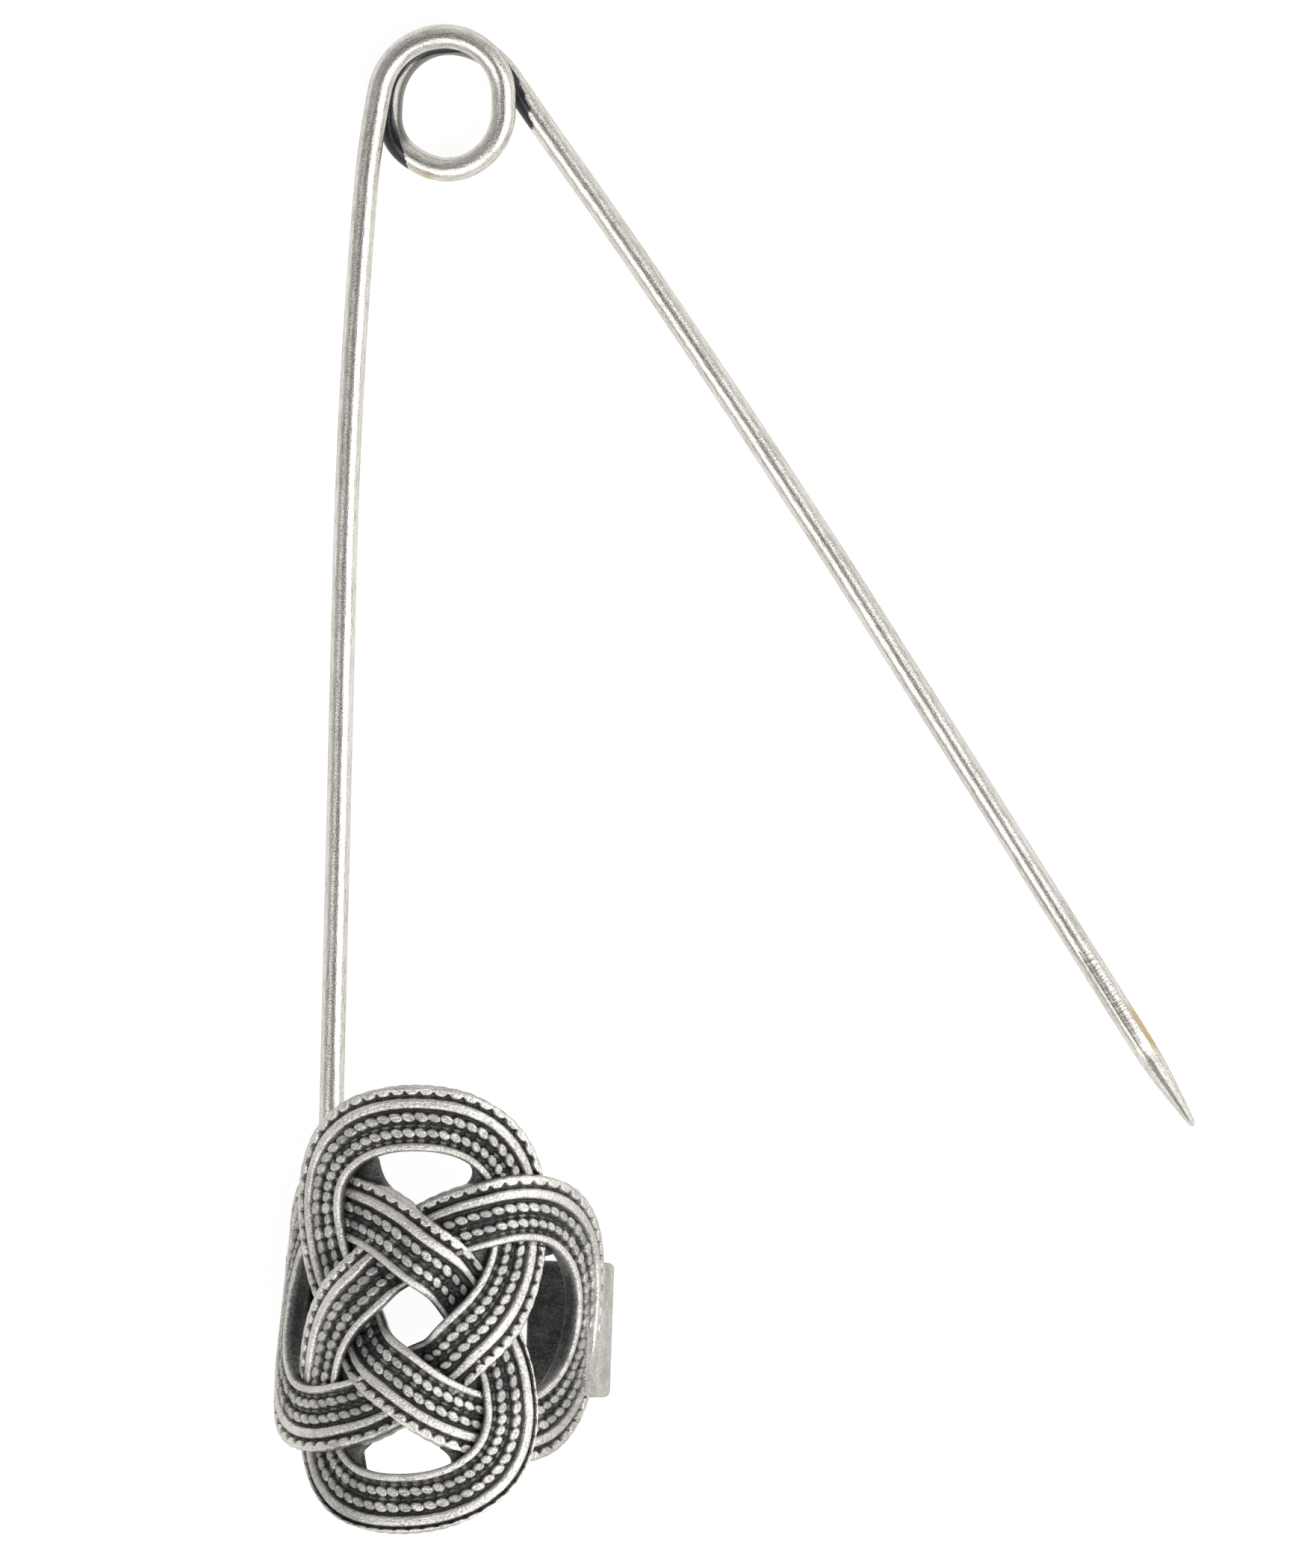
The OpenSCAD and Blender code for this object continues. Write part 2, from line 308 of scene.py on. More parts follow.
def wire_material():
    """Bright drawn wire. place is (around, around, along) on the wire itself, in millimetres."""
    n = Nodes("drawn_wire")
    place = n.attribute("place", "Vector")
    stain = n.attribute("stain")
    ground = n.attribute("ground")
    streaks = n.noise(n.scaled(place, (2.2, 2.2, 0.3)), 4.0, 4.0, 0.6)
    specks = n.noise(place, 9.0, 2.0, 0.6)
    blotches = n.noise(n.scaled(place, (1, 1, 0.25)), 0.8)
    tone = n.weighted((streaks, 1.0), (specks, 0.8), (blotches, 0.5))
    colour = n.ramp(n.math("ADD", tone, 0.5), WIRE_TONES)
    stained = n.math("MULTIPLY", stain, n.range(streaks, 0.3, 0.55, 0.6, 1))
    colour = n.mix(stained, colour, n.mix(specks, STAIN_DARK, STAIN_PALE))
    file_marks = n.noise(n.scaled(place, (0.3, 0.3, 2.6)), 2.6, 2.0, 0.6)
    filed = n.attribute("filed")
    scored_and_shaded = n.math("ADD", n.attribute("score_and_shade"), n.weighted((streaks, 0.9), (specks, 0.9)))
    rasped = n.math("ADD", n.weighted((file_marks, 1.5)), 0.26)
    scored_and_shaded = n.math("ADD", scored_and_shaded, n.math("MULTIPLY", filed, rasped))
    # Darker where scored, and painted shade on the ground flat and beside the back turn.
    colour = n.mix(n.range(scored_and_shaded, 0.35, 0.75, 0, 0.85), colour, SCORE_AND_SHADE_COLOUR)
    # Painted shade where the front turn and the leg lie over the back turn and the arm.
    crossing_shaded = n.math("ADD", n.attribute("crossing_shade"), n.weighted((streaks, 0.4), (specks, 0.8)))
    colour = n.mix(n.range(crossing_shaded, 0.42, 0.58), colour, CROSSING_SHADE_COLOUR)
    rough = n.range(specks, 0.3, 0.7, 0.20, 0.32)
    grinding = n.noise(n.scaled(place, (5.0, 5.0, 0.9)), 3.2, 3.0, 0.7)
    normal = n.bump(n.weighted((streaks, 1.0), (specks, 1.0)), 0.014)
    normal = n.bump(n.math("MULTIPLY", grinding, ground), 0.05, normal)
    normal = n.bump(n.math("MULTIPLY", file_marks, filed), 0.028, normal)
    return n.finish(colour, rough, normal)


def cast_material():
    """Cast white metal, blackened all over and then rubbed bright where it stands proud; painted
    shade where the band dives.
    """
    n = Nodes("antiqued_cast")
    relief = n.attribute("relief")
    place = n.attribute("place", "Vector")
    patches = n.noise(place, 0.9, 4.0, 0.6)
    specks = n.noise(place, 5.5, 3.0, 0.65)
    scratches = n.noise(n.scaled(place, (1, 6.5, 6.5)), 1.4, 3.0, 0.6)
    pits = n.noise(place, 14.0, 2.0, 0.6)
    broad = n.noise(place, 0.32, 2.0, 0.5)
    worn = n.weighted((broad, 0.40), (patches, 0.50), (specks, 0.85), (scratches, 0.40))
    rubbed = n.math("ADD", relief, worn)
    colour = n.ramp(rubbed, CAST_TONES)
    rough = n.range(rubbed, 0.25, 0.90, 0.48, 0.24)
    normal = n.bump(n.weighted((specks, 1.0), (scratches, 0.6), (patches, 0.8)), 0.07)
    normal = n.bump(pits, 0.012, normal)
    return n.finish(colour, rough, normal)


def floor_material():
    """A matt, softly lit tabletop, so pale that it hardly shows the pin's shadow."""
    n = Nodes("pale_floor")
    mottle = n.noise(n.add("ShaderNodeTexCoord").outputs["Object"], 9.0, 2.0)
    n.join(n.ramp(mottle, FLOOR_TONES), n.shader.inputs["Base Color"])
    n.shader.inputs["Roughness"].default_value = 1.0
    n.shader.inputs["Specular IOR Level"].default_value = 0.0
    n.shader.inputs["Emission Color"].default_value = (1, 1, 1, 1)
    n.shader.inputs["Emission Strength"].default_value = FLOOR_GLOW
    return n.material


# The wire's middle line


class Route:
    """Points along the wire, made of straight runs and bends to the right."""

    BEND_STEP = 0.22
    STRAIGHT_STEP = 1.0

    def __init__(self, at, heading, right):
        self.at, self.heading, self.right = (np.array(v, float) for v in (at, heading, right))
        self.points = []

    def straight(self, run, step=STRAIGHT_STEP):
        count = math.ceil(run / step)
        for i in range(1, count + 1):
            self.points.append(self.at + self.heading * run * i / count)
        self.at = self.at + self.heading * run

    def bend(self, radius, degrees, tilt=0.0, start=0.0):
        """A bend tilted about the wire's heading. A start below 0 leads up to the present place."""
        right, heading = self.right, self.heading
        up = np.cross(right, heading)
        t = math.radians(tilt)
        side = math.cos(t) * right - math.sin(t) * up
        lift = math.sin(t) * right + math.cos(t) * up
        centre = self.at + radius * side
        first, last = math.radians(start), math.radians(degrees)
        count = max(3, math.ceil(radius * (last - first) / self.BEND_STEP))
        for i in range(1, count + 1):
            a = first + (last - first) * i / count
            self.points.append(centre + radius * (math.sin(a) * heading - math.cos(a) * side))
        self.at = self.points[-1]
        self.heading = math.cos(last) * heading + math.sin(last) * side
        back = math.cos(last) * side - math.sin(last) * heading
        t = t if degrees == 180 else -t
        self.right = math.cos(t) * back - math.sin(t) * lift


def leg_lean(i, s):
    return LEG_LEANS[i] + (LEG_LEANS[i + 1] - LEG_LEANS[i]) * s / LEG_RUNS[i]


def leg_point(i, s, start):
    """Middle of the leg, a length s into its run i, counted from the coil down."""
    origin = start if i == 0 else leg_point(i - 1, LEG_RUNS[i - 1], start)
    mid = math.radians((LEG_LEANS[i] + leg_lean(i, s)) / 2)
    fall = s * s / (2 * LEG_RUNS[0]) if i == 0 else s
    dip = math.tan(math.radians(LEG_DIP))
    return origin - np.array([s * math.sin(mid), s * math.cos(mid), fall * dip])


# Small hand-bent departures from the even route: how far past the middle of the coil's drop each
# is centred, how soon it fades before and after, and how far it moves the wire.
PULLS = (
    (0.0, 3.6, 1.8, (0.00, -0.15, -0.02)),
    (4.2, 2.6, 3.2, (-0.25, -0.20, -0.015)),
    (17.5, 3.5, 9.5, (-0.24, -0.16, 0)),
    (100.0, 30.0, 30.0, (0.04, -0.31, 0)),
)
LEG_STEP = 0.8
POINT_STEP = 0.16


def lengths_along(points):
    """Length along a line at each of its points."""
    return np.concatenate([[0], np.cumsum(np.linalg.norm(np.diff(points, axis=0), axis=1))])


def leg_line():
    """The leg's middle line, from the coil down."""
    lean = math.radians(LEG_LEANS[0])
    entry = np.array([
        COIL_TOP_X - COIL_ENTRY_R * math.cos(lean),
        COIL_TOP_Y - COIL_ENTRY_R * (1 - math.sin(lean)),
        FRONT_Z,
    ])
    line = [entry]
    for i, run in enumerate(LEG_RUNS):
        count = math.ceil(run / LEG_STEP)
        line += [leg_point(i, run * k / count, entry) for k in range(1, count + 1)]
    return line


def add_arm(route):
    """The arm's straight runs, the two soft elbows of its bow, and the point."""
    elbow = ARM_BOW / 2
    between = ARM_BOW_RUN / 2 - ELBOW_R * math.radians(elbow)
    route.straight(ARM_FIRST_RUN + between / 2)
    route.bend(ELBOW_R, elbow)
    route.straight(between)
    route.bend(ELBOW_R, elbow)
    route.straight(between / 2 + ARM_LAST_RUN)
    route.straight(POINT_L, POINT_STEP)


def pulled(points, drop):
    """The line with its hand-bent departures, counted from the middle of the drop."""
    along = lengths_along(points)
    for past, before, after, move in PULLS:
        d = along - along[drop] - past
        share = np.exp(-(d / np.where(d < 0, before, after)) ** 2)
        points = points + share[:, None] * np.array(move)
    return points


def wire_route():
    """The wire's middle line from the leg's end to the arm's point, and where its pieces meet."""
    route = Route((COIL_TOP_X, COIL_TOP_Y, FRONT_Z), (1, 0, 0), (0, -1, 0))
    route.points = leg_line()[::-1]
    entry = len(route.points) - 1
    state = route.at, route.heading, route.right
    route.bend(COIL_ENTRY_R, 0, start=LEG_LEANS[0] - 90)
    route.at, route.heading, route.right = state
    route.bend(COIL_SHOULDER_R, 90)
    route.straight(COIL_RIGHT_RUN, Route.BEND_STEP)
    before_drop = len(route.points)
    route.bend(COIL_R, 180, DROP_TILT)
    drop = (before_drop + len(route.points)) // 2
    route.straight(COIL_LEFT_RUN, Route.BEND_STEP)
    route.bend(COIL_R, 90)
    route.bend(COIL_EXIT_R, 90 - ARM_OPEN)
    leave = len(route.points) - 1
    add_arm(route)
    return pulled(np.array(route.points), drop), (entry, drop, leave)


WIRE_SIDES = 48
# The point, as (length from its end, share of the wire's radius), and its ground flats as
# (direction round the wire, with 90 straight up, and share of the radius).
POINT_SHAPE = (
    (0, 0.24), (0.7, 0.36), (1.9, 0.56), (3.05, 0.72), (4.2, 0.87), (5.4, 0.96), (6.8, 1.0),
)
BLUNT_END = 0.12
FACETS = ((88, 0.72), (38, 0.90), (140, 0.86), (225, 0.90), (300, 0.88))
# Where the ground flats start and where they are whole, counted from the end.
GROUND = (6.9, 5.4)
# Marks near the point: where each starts and ends, counted from the end, and its directions.
FILED_STRIP = (13.4, 5.6, 74, 118)
SCORED_LINE = (13.0, 5.2, 68, 74)
# The ground flat's mark is painted shade: it darkens the flat that faces the dark overhead.
SHADED_FLAT = (5.0, 0.9, 62, 92)
STAIN = (8.6, 6.2, 135, 200)
SCORE_AND_SHADE_STRENGTH = 0.78
# Painted shade on the coil's back turn and on the arm, where the front turn and the leg lie over
# them, outlined on the floor plan.
TURN_SHADE = (
    (-1.00, 3.15), (-1.90, 2.80), (-2.45, 2.52), (-2.86, 2.03), (-3.29, 1.48), (-3.48, 1.10),
    (-3.63, 0.50), (-3.70, -0.20), (-3.58, -1.06), (-3.45, -1.68), (-3.29, -2.30), (-3.11, -2.92),
    (-2.94, -3.42), (-2.84, -3.85), (-2.71, -4.35), (-3.00, -5.00), (-5.20, -3.40), (-5.90, 0.50),
    (-4.10, 3.20), (-1.80, 4.20), (-0.40, 3.90), (1.15, 3.75), (1.05, 3.30), (0.00, 3.24),
)
ARM_SHADE = (
    (3.73, 2.90), (4.19, 2.23), (4.69, 1.49), (4.94, 0.85), (5.08, 0.50), (5.31, 0.05),
    (5.23, -0.45), (5.43, -0.82), (5.48, -1.24), (5.63, -1.58), (5.00, -2.20), (3.90, -1.10),
    (3.20, 1.80), (3.20, 3.10),
)
SHADE_EDGE = 0.10
# Heights round the wire, from -1 at its underside to 1 on top, between which the painted shade sets
# in.
SHADE_RISE = (-0.85, -0.25)
# Painted shade that dulls the metal beside the back turn's painted shade: how wide, how strong, and
# where it ends along Y.
SHADE_HALO = 1.9
HALO_STRENGTH = 0.92
HALO_END = (-3.6, -2.0)
# A speck of rust, as its place on the floor plan and its radius.
RUST_SPOT = (-1.45, -4.95, 0.30)


def band_of(x, low, high, soft):
    """1 between low and high, and soft outside them."""
    return smooth(low - soft, low, x) * smooth(high + soft, high, x)


def wire_radius(to_tip, angle):
    """Radius in each direction round the wire, which tapers to the point and is ground flat there."""
    taper = WIRE_R * np.interp(to_tip, *zip(*POINT_SHAPE))
    blunt = np.sqrt(np.clip(1 - (1 - to_tip / BLUNT_END).clip(0, 1) ** 2, 0.02, 1))
    radius = (taper * blunt)[:, None] * np.ones(WIRE_SIDES)
    flat = np.full_like(radius, np.inf)
    for direction, share in FACETS:
        cosine = np.cos(angle - math.radians(direction))
        facing = cosine > 0.05
        reach_out = share * radius / np.where(facing, cosine, 1)
        flat = np.minimum(flat, np.where(facing, reach_out, np.inf))
    ground = smooth(*GROUND, to_tip)[:, None]
    return radius * (1 - ground) + np.minimum(radius, flat) * ground


def wire_marks(to_tip, degrees):
    """How strong each kind of mark is, along the wire and round it."""

    def mark(start, end, low, high, soft=7):
        return band_of(to_tip, end, start, 1.0)[:, None] * band_of(degrees, low, high, soft)

    # The flat's part is painted shade.
    scored_and_shaded = np.maximum(mark(*SCORED_LINE, soft=5), mark(*SHADED_FLAT))
    return {
        "ground": smooth(*GROUND, to_tip)[:, None] * np.ones(WIRE_SIDES),
        "filed": mark(*FILED_STRIP),
        "score_and_shade": SCORE_AND_SHADE_STRENGTH * scored_and_shaded,
        "stain": mark(*STAIN, soft=16),
    }


def wire_rings(points):
    """Rings of points round the wire, and the marks on it."""
    along = lengths_along(points)
    heading = unit(np.gradient(points, along, axis=0))
    side = unit(np.cross(heading, (0, 0, 1)))
    up = np.cross(side, heading)
    degrees = np.arange(WIRE_SIDES) * 360 / WIRE_SIDES
    angle = np.radians(degrees)
    to_tip = along[-1] - along
    out = np.cos(angle)[:, None] * side[:, None] + np.sin(angle)[:, None] * up[:, None]
    rings = points[:, None] + wire_radius(to_tip, angle)[..., None] * out
    round_x, round_y = WIRE_R * np.cos(angle), WIRE_R * np.sin(angle)
    place = np.stack(np.broadcast_arrays(round_x, round_y, along[:, None]), -1)
    return rings, {"place": place, **wire_marks(to_tip, degrees)}


def inside_by(outline, x, y):
    """How far places lie inside an outline, negative outside it."""
    corners = np.array(outline)
    inside = np.zeros(x.shape, bool)
    near = np.full(x.shape, np.inf)
    for (ax, ay), (bx, by) in zip(corners, np.roll(corners, -1, axis=0)):
        ex, ey = bx - ax, by - ay
        t = np.clip(((x - ax) * ex + (y - ay) * ey) / (ex * ex + ey * ey), 0, 1)
        near = np.minimum(near, np.hypot(x - ax - t * ex, y - ay - t * ey))
        if ay != by:
            inside ^= ((ay > y) != (by > y)) & (x < ax + (y - ay) * ex / ey)
    return np.where(inside, near, -near)


def wire_crossing_shade(rings, drop):
    """Painted shade on the back turn and the arm where the front turn and the leg cross them,
    and painted shade that dulls the metal beside it."""
    x, y = rings[..., 0], rings[..., 1]
    turn = smooth(-SHADE_EDGE, SHADE_EDGE, inside_by(TURN_SHADE, x, y))
    arm = smooth(-SHADE_EDGE, SHADE_EDGE, inside_by(ARM_SHADE, x, y))
    topside = smooth(*SHADE_RISE, np.sin(np.arange(WIRE_SIDES) * math.tau / WIRE_SIDES))
    crossing_shade = np.maximum(turn, arm) * topside
    # Painted shade that dulls the metal beside the back turn.
    beside = smooth(-SHADE_HALO, 0, inside_by(TURN_SHADE, x, y))
    halo = HALO_STRENGTH * topside * beside * smooth(*HALO_END, y)
    crossing_shade[:drop] = 0
    halo[:drop] = 0
    return crossing_shade, halo


def build_wire(material):
    points, (entry, drop, leave) = wire_route()
    rings, marks = wire_rings(points)
    # Painted shade under the crossing wires, and the painted dulling beside it.
    marks["crossing_shade"], halo = wire_crossing_shade(rings, drop)
    # The halo is painted shade, carried with the scoring into its darker colour.
    marks["score_and_shade"] = np.maximum(marks["score_and_shade"], halo)
    rust_x, rust_y, rust_r = RUST_SPOT
    rust = np.hypot(rings[..., 0] - rust_x, rings[..., 1] - rust_y) / rust_r
    marks["stain"] = np.maximum(marks["stain"], np.exp(-rust ** 2))
    last = len(points) - 1
    spans = {
        "leg_wire": (0, entry),
        "coil_front": (entry, drop),
        "coil_back": (drop, leave),
        "arm_wire": (leave, last),
    }
    made = {}
    for name, (a, b) in spans.items():
        part = slice(a, b + 1)
        values = {key: mark[part] for key, mark in marks.items()}
        made[name] = make_tube(name, rings[part], values, material)
    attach(made["leg_wire"], LEG_BODY)
    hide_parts("fixed_leg")
    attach(made["coil_back"], COIL_BODY)
    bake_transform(made["coil_front"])
    for name in ("coil_front", "coil_back"):
        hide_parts("spring_coil")
    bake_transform(made["arm_wire"])
    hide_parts("pin_arm")


# The knot's band

WAVE_0 = ((BIGHT_R + INNER_BIGHT_R) / 2 + OUTER_CROSS_R + INNER_CROSS_R) / 3
WAVE_2 = (BIGHT_R + INNER_BIGHT_R) / 2 - WAVE_0
WAVE_3 = ((BIGHT_R - INNER_BIGHT_R) / 2 - (OUTER_CROSS_R - INNER_CROSS_R)) / 3
WAVE_1 = (BIGHT_R - INNER_BIGHT_R) / 2 - WAVE_3
STRETCH_FROM = 0.385 * BIGHT_R
STRETCH = (SIDE_REACH - BIGHT_R) / (BIGHT_R - STRETCH_FROM) ** 2
FIRST_PHASE = 120
WHOLE_STRAND = 1440


def reach(u):
    return u + np.sign(u) * STRETCH * np.maximum(0, np.abs(u) - STRETCH_FROM) ** 2


def full(d):
    return 1 + LOOP_FULL * np.maximum(0, np.abs(d) - STRETCH_FROM) / (BIGHT_R - STRETCH_FROM)


# How far the cast band lies outside the even waves, every 40 degrees of phase: measured on the
# photo, then corrected by comparing renders with it.
OFFSET_STEP = 40
OFFSETS = np.array([
    -0.02, 0.64, 0.22, -0.02, 0.17, 0.07, -0.01, 0.10, 0.82, 0.72, 0.70, -0.29,
    -0.28, -0.12, -0.09, 0.31, 0.74, 0.74, -0.16, 0.36, 0.33, 0.04, -0.12, -0.25,
    -0.36, -0.20, 0.45, -0.45, 0.36, -0.08, -0.28, 0.15, 0.19, 0.50, 0.68, 0.56,
])


def offset(phase):
    """A soft curve through the offsets."""
    at = phase / OFFSET_STEP
    whole = np.floor(at).astype(int)
    t = at - whole
    a, b, c, d = (OFFSETS[(whole + k) % len(OFFSETS)] for k in (-1, 0, 1, 2))
    return b + 0.5 * t * (c - a + t * (2 * a - 5 * b + 4 * c - d + t * (3 * (b - c) + d - a)))


def even_strand(phase):
    """The even waves, laid flat, at phases in degrees."""
    p = np.radians(phase)
    a = np.radians(90 + 0.75 * phase)
    r = WAVE_0 + WAVE_1 * np.cos(p) + WAVE_2 * np.cos(2 * p) + WAVE_3 * np.cos(3 * p)
    x, y = r * np.cos(a), r * np.sin(a)
    lean = LOOP_LEAN * (y / BIGHT_R) ** 3
    return np.stack([reach(x) * full(y) + lean, y * full(x)], -1)


def across_of(line, phase):
    """Direction across a line, away from the knot's centre."""
    d = line(phase + 0.5) - line(phase - 0.5)
    return unit(np.stack([d[..., 1], -d[..., 0]], -1))


def strand(phase):
    """Middle of the band, laid flat, at phases in degrees."""
    return even_strand(phase) + offset(phase)[..., None] * across_of(even_strand, phase)


def wrap(u, v, h):
    """A flat place on the clasp's front, h above its rounded surface, wrapped into space."""
    a = u / FRONT_R
    return np.stack([(FRONT_R + h) * np.sin(a), v + 0 * a, (FRONT_R + h) * np.cos(a)], -1)


def place_clasp(points):
    """From the clasp's own frame to where it lies."""
    x, y, z = points[..., 0], points[..., 1], points[..., 2]
    c, s = math.cos(math.radians(CLASP_ROLL)), math.sin(math.radians(CLASP_ROLL))
    x, z = c * x - s * z, s * x + c * z
    c, s = math.cos(math.radians(CLASP_SLANT)), math.sin(math.radians(CLASP_SLANT))
    x, y = c * x + s * y, c * y - s * x
    return np.stack([x, y, z], -1) + np.array(CLASP_AT)


# The band's raised parts, as shares of its half width from the outer edge at -1 to the inner edge
# at 1, and depths as shares of the groove's depth. Columns: middle, half width, depth of the top,
# and how square the section is. A row of beads is an oval per bead instead.
EDGE_ROPE = (-0.868, 0.176, 0.10, 6.0)
WIDE_RIDGE = (-0.470, 0.200, 0.00, 5.0)
NARROW_RIDGE = (0.865, 0.155, 0.04, 4.5)
RIDGES = (EDGE_ROPE, WIDE_RIDGE, NARROW_RIDGE)
# Columns: middle, half width, depth of the top, and how long each bead is.
ROPE_OUT = (-0.050, 0.178, 0.08, 1.14)
ROPE_IN = (0.430, 0.172, 0.08, 1.14)
SEEDS_OUT = (0.200, 0.062, 0.50, 0.85)
SEEDS_IN = (0.655, 0.050, 0.50, 0.85)
BEAD_ROWS = (ROPE_OUT, ROPE_IN, SEEDS_OUT, SEEDS_IN)

# The band's walls: shares of the half width, and of the band's thickness down from its top.
INNER_WALL = ((0.99, 0.45), (0.94, 0.80), (0.87, 1.0))
OUTER_WALL = ((1.0, 1.0), (1.06, 0.85), (1.04, 0.55))
OUTER_WALL_RELIEF = 0.60
INNER_WALL_RELIEF = (0.06, 0.62)

BEADS = 206
BEADS_FROM, BEADS_TO = -0.24, 0.72
BEAD_SEED = 11
RINGS_PER_BEAD = 12
BEAD_LEAN = 1.0
EDGE_BULGE = 0.05
# How much duller than the ridges' tops other places are: rows of beads, groove floors from one
# depth to the next, all over, where the ridges run thin, and where the band dives, which is
# painted shade under the crossings.
BEAD_DULL = 0.13
FLOOR_DULL = 0.86
FLOOR_DEPTHS = (0.14, 0.85)
ALL_DULL = 0.04
SLIM_DULL = 0.9
DIVE_SHADE = 0.12
# Where the ridges run thin, by the phase within a turn: from whole to thin, and the share lost
# there, after a middle phase and before it.
SLIM_MIDDLE = 127
SLIM_AFTER = (205, 150, 0.34)
SLIM_BEFORE = (55, 105, 0.20)
# Degrees of phase off a loop's middle between which its inner wall turns from pale to dark.
LOOP_INSIDE = (75, 45)
# Teeth bitten into the edge from the groove beside it: shares at their root and tip, and width.
TEETH = (-0.715, -0.895, 0.64)
# Where the loops' outer edge is squeezed: the middle phase, the span, and by how much.
SQUEEZES = ((748, 110, 0.74), (1395, 70, 0.15))
SQUEEZE_FROM = 0.70


def section_columns():
    """Places across the band for its mesh: outer half, beaded half and inner ridge."""
    outer = np.linspace(-1.0, BEADS_FROM, 24, endpoint=False)
    inner = np.linspace(BEADS_FROM, BEADS_TO, 30, endpoint=False)
    ridge = np.linspace(BEADS_TO, 1.0, 9)
    return np.concatenate([outer, inner, ridge])


def bead_fade(bead_at, jitter):
    """How far a place is from its bead's middle, as 0 to 1, and that bead's own chance number."""
    index = np.floor(bead_at).astype(int) % BEADS
    return np.abs(2 * (bead_at - np.floor(bead_at)) - 1), jitter[index]


def section_depth(share, bead_at, slim, jitter):
    """Depth below the ridge's top, as a share of the groove's depth."""
    depth = np.ones(np.broadcast(share, bead_at).shape)
    for middle, half, top, power in RIDGES:
        x = np.abs(share - middle) / (half * slim)
        depth = np.minimum(depth, top + (1 - top) * np.clip(x ** power, 0, 1))
    for middle, half, top, length in BEAD_ROWS:
        off, chance = bead_fade(bead_at + BEAD_LEAN * (share - middle), jitter)
        x = np.abs(share - middle) / (half * (0.90 + 0.16 * chance))
        oval = (x ** 2.3 + (off / length) ** 2.6) * (2 - slim)
        top = top + 0.26 * (1 - chance) ** 2
        depth = np.minimum(depth, top + (1 - top) * smooth(0.42, 1.06, oval))
    off, _ = bead_fade(bead_at + 0.3, jitter)
    root, tip, width = TEETH
    bite = np.clip((share - tip) / (root - tip), 0, 1)
    notch = smooth(0.02, 0.16, off - 1 + width * bite) * smooth(-0.66, -0.70, share)
    return np.clip(np.maximum(depth, notch), 0, 1)


def slimness(phase):
    """The ridges run out thin where the band comes up from under an inner crossing."""
    turn_at = np.mod(phase, 360)
    (whole_after, thin_after, lost_after) = SLIM_AFTER
    (whole_before, thin_before, lost_before) = SLIM_BEFORE
    after = smooth(whole_after, thin_after, turn_at) * (turn_at >= SLIM_MIDDLE)
    before = smooth(whole_before, thin_before, turn_at) * (turn_at < SLIM_MIDDLE)
    return 1 - lost_after * after - lost_before * before


def polish(share, depth, slim, rise):
    """How bright each place on the band's top is rubbed, with a painted shade where it dives."""
    in_beads = smooth(-0.25, -0.21, share) * smooth(0.69, 0.65, share)
    bright = 1.0 - FLOOR_DULL * smooth(*FLOOR_DEPTHS, depth) - BEAD_DULL * in_beads
    # Painted shade where the band dives under a crossing.
    dive_shade = smooth(-0.1, -0.95, rise / WEAVE)
    return bright - ALL_DULL - SLIM_DULL * (1 - slim) - DIVE_SHADE * dive_shade


def band_rings(phase, bead_at, jitter):
    """Rings of the band: the section's top, then its walls and its flat back."""
    share = section_columns()[None, :]
    half = BAND_W / 2
    rise = (WEAVE * np.sin(np.radians(2 * phase)))[:, None]
    slim = slimness(phase)[:, None]
    depth = section_depth(share, bead_at[:, None], slim, jitter)
    off, _ = bead_fade(bead_at[:, None] + 0.3, jitter)
    bulge = EDGE_BULGE * (1 - off ** 2)
    squeeze = sum(
        amount * smooth(span, span / 2, np.abs(phase - middle)) for middle, span, amount in SQUEEZES
    )
    lost = (1 - SQUEEZE_FROM) * half * squeeze[:, None]
    top_q = -share * half + bulge * smooth(-0.80, -1.0, share)
    top_q = top_q - lost * np.clip((-share - SQUEEZE_FROM) / (1 - SQUEEZE_FROM), 0, 1)
    top_h = rise - depth * GROOVE_D
    inner_wall = [(-s * half, -BAND_T * d) for s, d in INNER_WALL]
    outer_wall = [(s * half, -BAND_T * d) for s, d in OUTER_WALL]
    back = np.array(inner_wall + outer_wall)
    back_q = back[None, :, 0] + (bulge - lost) * (back[None, :, 0] > 0)
    back_h = back[None, :, 1] + rise
    q = np.concatenate([top_q, back_q], 1)
    h = np.concatenate([top_h, back_h], 1)
    m, n = strand(phase)[:, None], across_of(strand, phase)[:, None]
    rings = wrap(m[..., 0] + q * n[..., 0], m[..., 1] + q * n[..., 1], h)
    dark, pale = INNER_WALL_RELIEF
    off_loop = np.abs(np.mod(phase, 360) - 180)[:, None]
    inner = dark + (pale - dark) * smooth(*LOOP_INSIDE, off_loop)
    wall = np.where(back_q > 0, OUTER_WALL_RELIEF, inner)
    relief = np.concatenate([polish(share, depth, slim, rise), wall], 1)
    return place_clasp(rings), relief, q, h - rise


